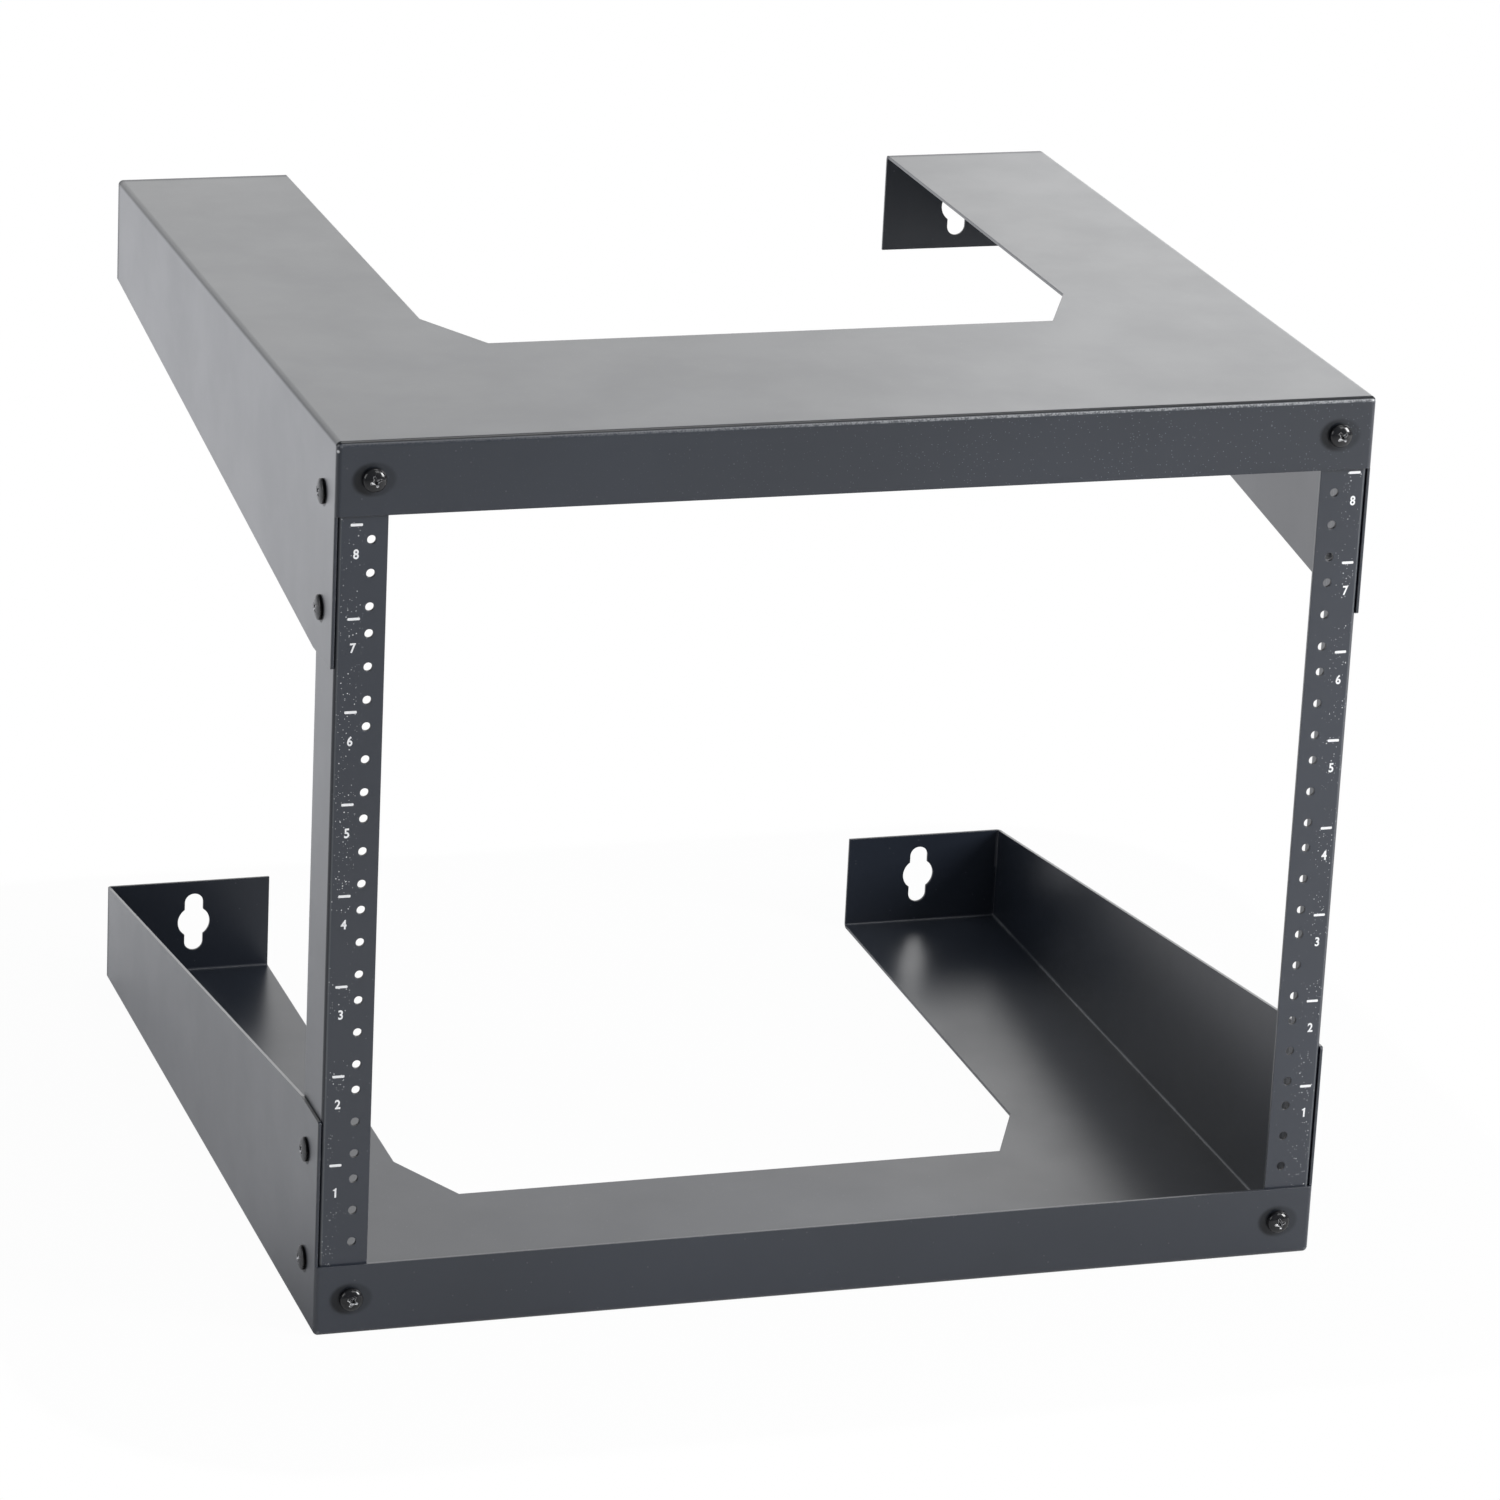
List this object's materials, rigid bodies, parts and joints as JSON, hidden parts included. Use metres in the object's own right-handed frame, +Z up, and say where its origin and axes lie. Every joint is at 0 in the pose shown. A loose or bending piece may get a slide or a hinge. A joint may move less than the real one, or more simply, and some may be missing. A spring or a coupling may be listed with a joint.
{
  "type": "wall mount rack",
  "caption": "Open-frame wall-mount equipment rack: folded steel brackets with sloping side flanges and wall keyholes, joined by tapped front rails.",
  "frame": {"origin": "centre of the eight-unit equipment hole pattern, on the front face of the rails", "axes": "+X to the right seen from the front, +Y back towards the wall, +Z up"},
  "size_m": [0.505, 0.4692, 0.436],
  "materials": {
    "bracket_coat": "satin charcoal powder coat",
    "rail_coat": "satin charcoal powder coat",
    "front_screw": "gloss black zinc, pan head with cross recess",
    "side_screw": "black zinc, truss head with cross recess"
  },
  "bodies": {
    "root": {"top_bracket": "bracket_coat", "bottom_bracket": "bracket_coat", "left_rail": "rail_coat", "right_rail": "rail_coat", "front_screw_top_left": "front_screw", "side_screw_top_left_outer": "side_screw", "side_screw_top_left_inner": "side_screw", "front_screw_bottom_left": "front_screw", "side_screw_bottom_left_outer": "side_screw", "side_screw_bottom_left_inner": "side_screw", "front_screw_top_right": "front_screw", "side_screw_top_right_outer": "side_screw", "side_screw_top_right_inner": "side_screw", "front_screw_bottom_right": "front_screw", "side_screw_bottom_right_outer": "side_screw", "side_screw_bottom_right_inner": "side_screw"}
  },
  "joints": []
}
